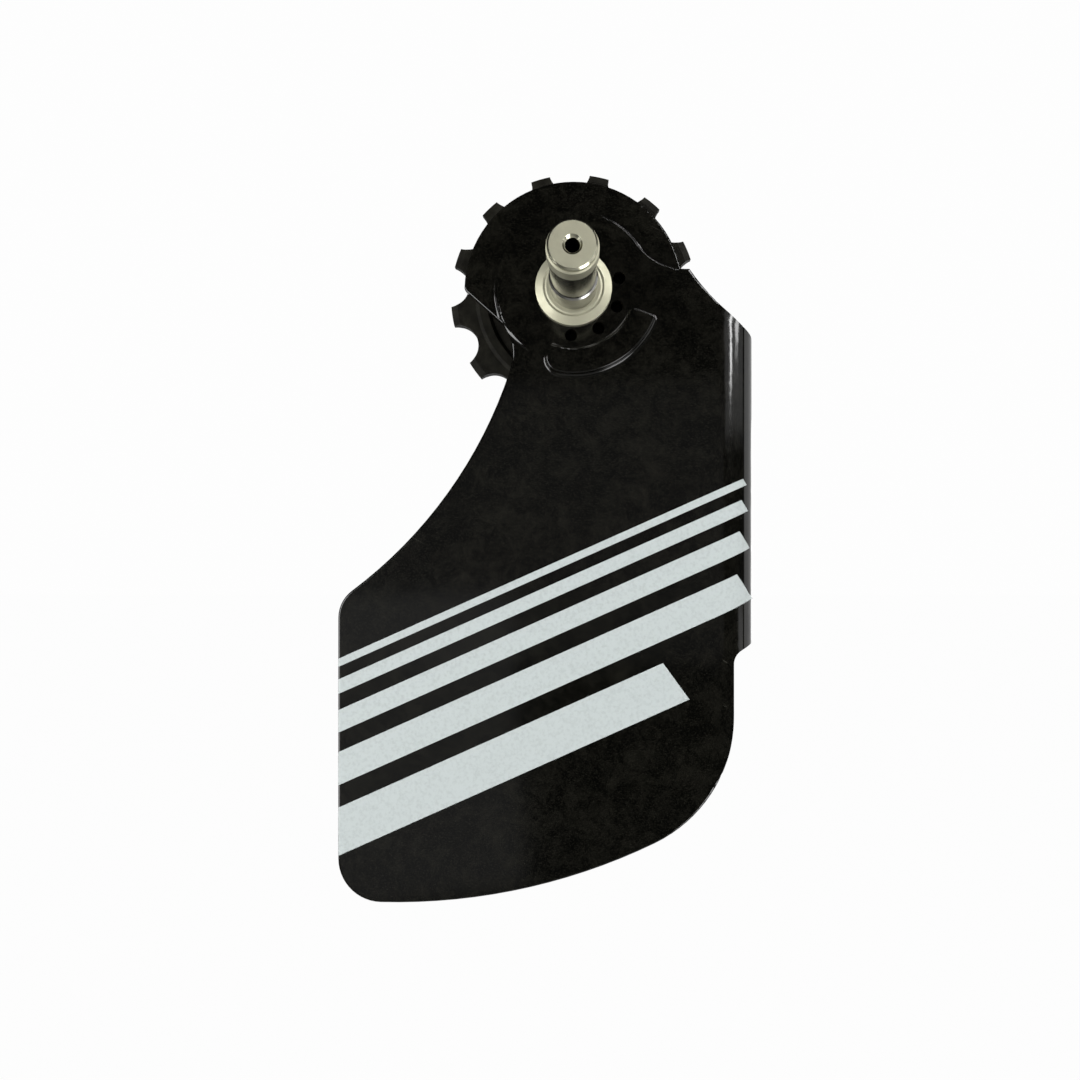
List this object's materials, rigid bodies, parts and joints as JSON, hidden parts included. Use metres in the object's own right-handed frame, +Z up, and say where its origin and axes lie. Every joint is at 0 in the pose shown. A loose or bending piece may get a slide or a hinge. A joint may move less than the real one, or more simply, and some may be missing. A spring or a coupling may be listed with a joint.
{
  "type": "oversized derailleur pulley cage",
  "caption": "Enclosed rear derailleur cage: moulded plates joined by a rounded nose carry a small upper and a large lower chain pulley, and a turned axle pivots it.",
  "frame": {"origin": "on the cage's pivot axis, at the shoulder where the axle meets its flange", "axes": "+X to the nose of the fairing, +Y in towards the wheel along the pivot axis, +Z up along the cage"},
  "size_m": [0.086, 0.0331, 0.1517],
  "materials": {
    "fibre_nylon": "moulded short-fibre nylon, semi-gloss",
    "pulley_nylon": "machined black nylon, matt",
    "turned_aluminium": "turned and satin anodised",
    "black_steel": "black oxide",
    "bearing_steel": "ground",
    "polished_balls": "polished",
    "retainer_nylon": "moulded",
    "seal_rubber": "moulded",
    "print_ink": "screen printed film, satin"
  },
  "bodies": {
    "cage": {"outer_plate": "fibre_nylon", "inner_plate": "fibre_nylon", "pivot_axle": "turned_aluminium", "lower_axle_sleeve": "turned_aluminium", "upper_bolt": "black_steel", "upper_bearing_inner_ring": "bearing_steel", "lower_bolt": "black_steel", "lower_bearing_inner_ring": "bearing_steel"},
    "upper_pulley": {"upper_pulley_wheel": "pulley_nylon", "upper_bearing_outer_ring": "bearing_steel", "upper_outer_seal": "seal_rubber", "upper_inner_seal": "seal_rubber"},
    "upper_balls": {"upper_bearing_balls": "polished_balls", "upper_ball_retainer": "retainer_nylon"},
    "lower_pulley": {"lower_pulley_wheel": "pulley_nylon", "lower_bearing_outer_ring": "bearing_steel", "lower_outer_seal": "seal_rubber", "lower_inner_seal": "seal_rubber"},
    "lower_balls": {"lower_bearing_balls": "polished_balls", "lower_ball_retainer": "retainer_nylon"}
  },
  "joints": [
    {"name": "upper_pulley_spin", "type": "hinge", "parent": "cage", "child": "upper_pulley", "pos_m": [0, 0, 0], "axis": [0, 1, 0], "continuous": true},
    {"name": "upper_ball_orbit", "type": "hinge", "parent": "cage", "child": "upper_balls", "pos_m": [0, 0, 0], "axis": [0, 1, 0], "continuous": true},
    {"name": "lower_pulley_spin", "type": "hinge", "parent": "cage", "child": "lower_pulley", "pos_m": [-0.0065, 0, -0.081], "axis": [0, 1, 0], "continuous": true},
    {"name": "lower_ball_orbit", "type": "hinge", "parent": "cage", "child": "lower_balls", "pos_m": [-0.0065, 0, -0.081], "axis": [0, 1, 0], "continuous": true}
  ],
  "couplings": [
    {"joint": "upper_ball_orbit", "follows": "upper_pulley_spin", "ratio": 0.6},
    {"joint": "lower_ball_orbit", "follows": "lower_pulley_spin", "ratio": 0.6}
  ]
}
